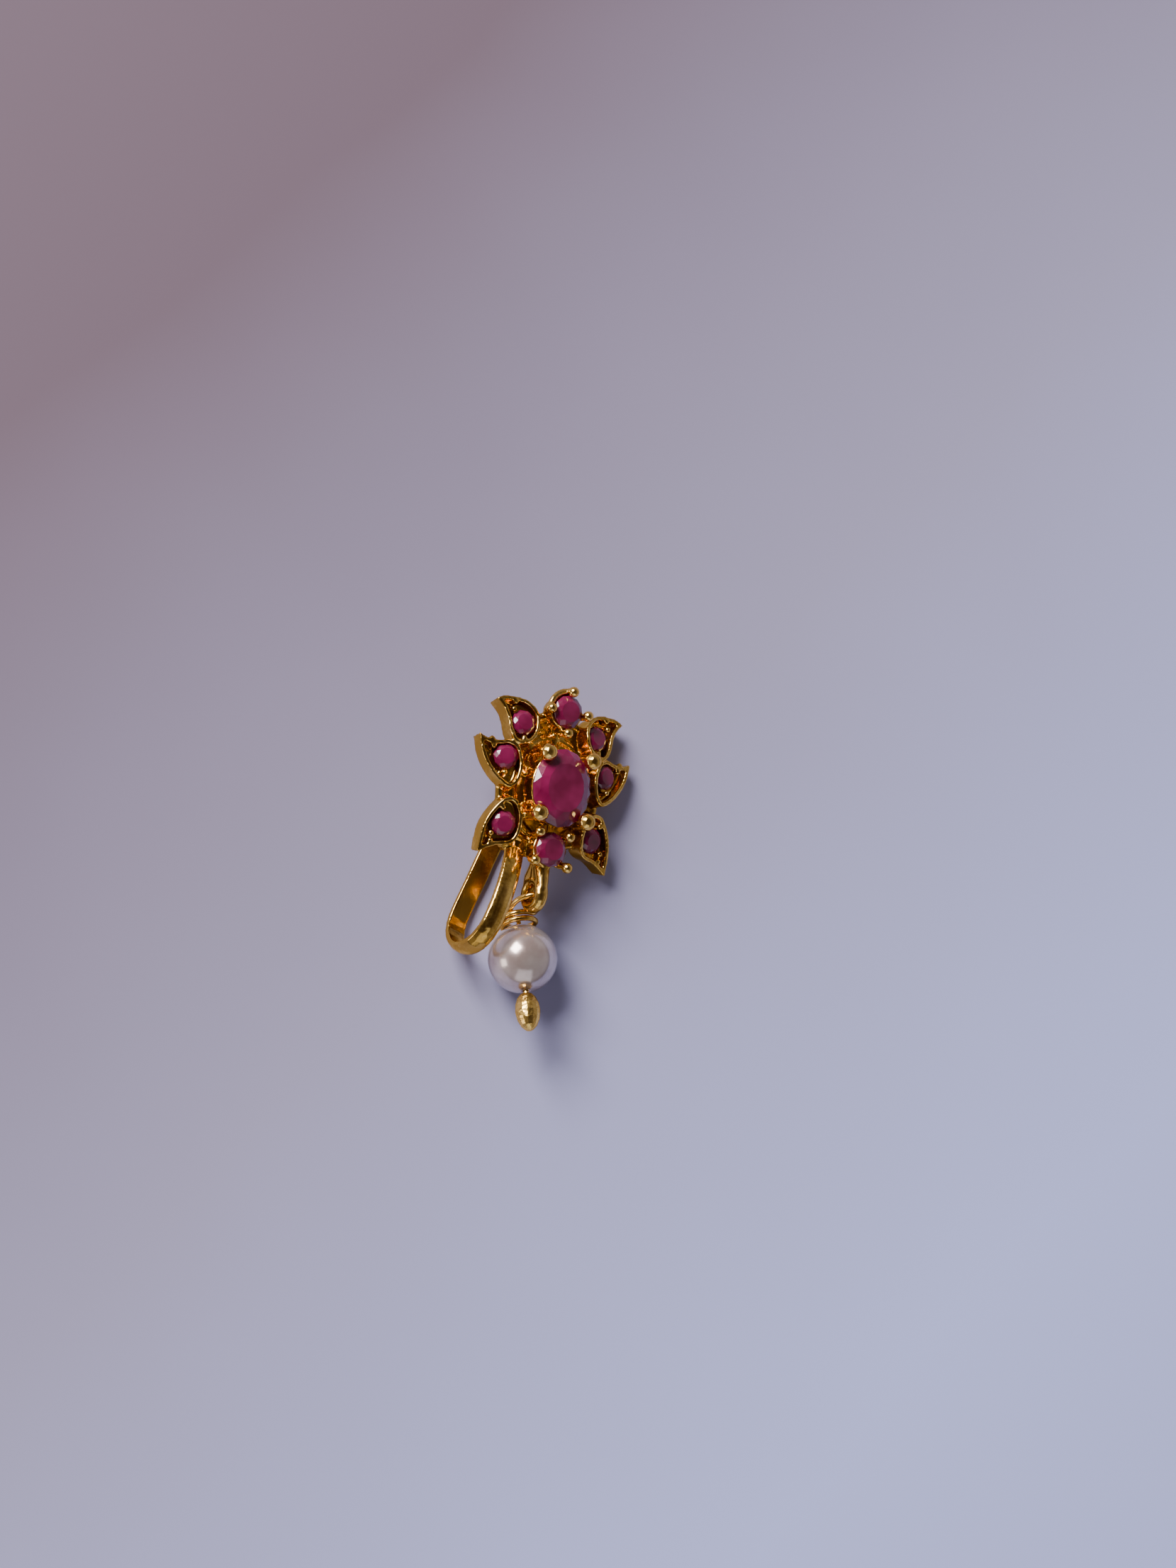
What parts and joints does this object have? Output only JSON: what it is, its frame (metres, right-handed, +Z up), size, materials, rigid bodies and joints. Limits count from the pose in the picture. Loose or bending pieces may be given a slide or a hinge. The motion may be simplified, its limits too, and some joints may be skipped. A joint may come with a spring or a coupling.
{
  "type": "nath nose ring",
  "caption": "Press-on nose ring: cast flower of ruby-coloured stones in ball prongs and petal cups, a spring clip band behind, a bail and a pearl drop.",
  "frame": {"origin": "middle of the jewel's footprint, on the surface it lies on", "axes": "+Z up from that surface, +Y along the jewel from the pearl drop to the top stone, +X across the flower"},
  "size_m": [0.012, 0.0236, 0.0066],
  "materials": {
    "gold": "polished gold plating on a cast setting",
    "ruby": "polished, cut with a flat table",
    "pearl": "pearly lustre"
  },
  "bodies": {
    "root": {"setting": "gold", "center_stone": "ruby", "top_stone": "ruby", "bottom_stone": "ruby", "petal_stone_upper_left": "ruby", "petal_stone_upper_right": "ruby", "petal_stone_middle_left": "ruby", "petal_stone_middle_right": "ruby", "petal_stone_lower_left": "ruby", "petal_stone_lower_right": "ruby", "pearl": "pearl", "drop_wire": "gold", "end_bead": "gold"}
  },
  "joints": []
}
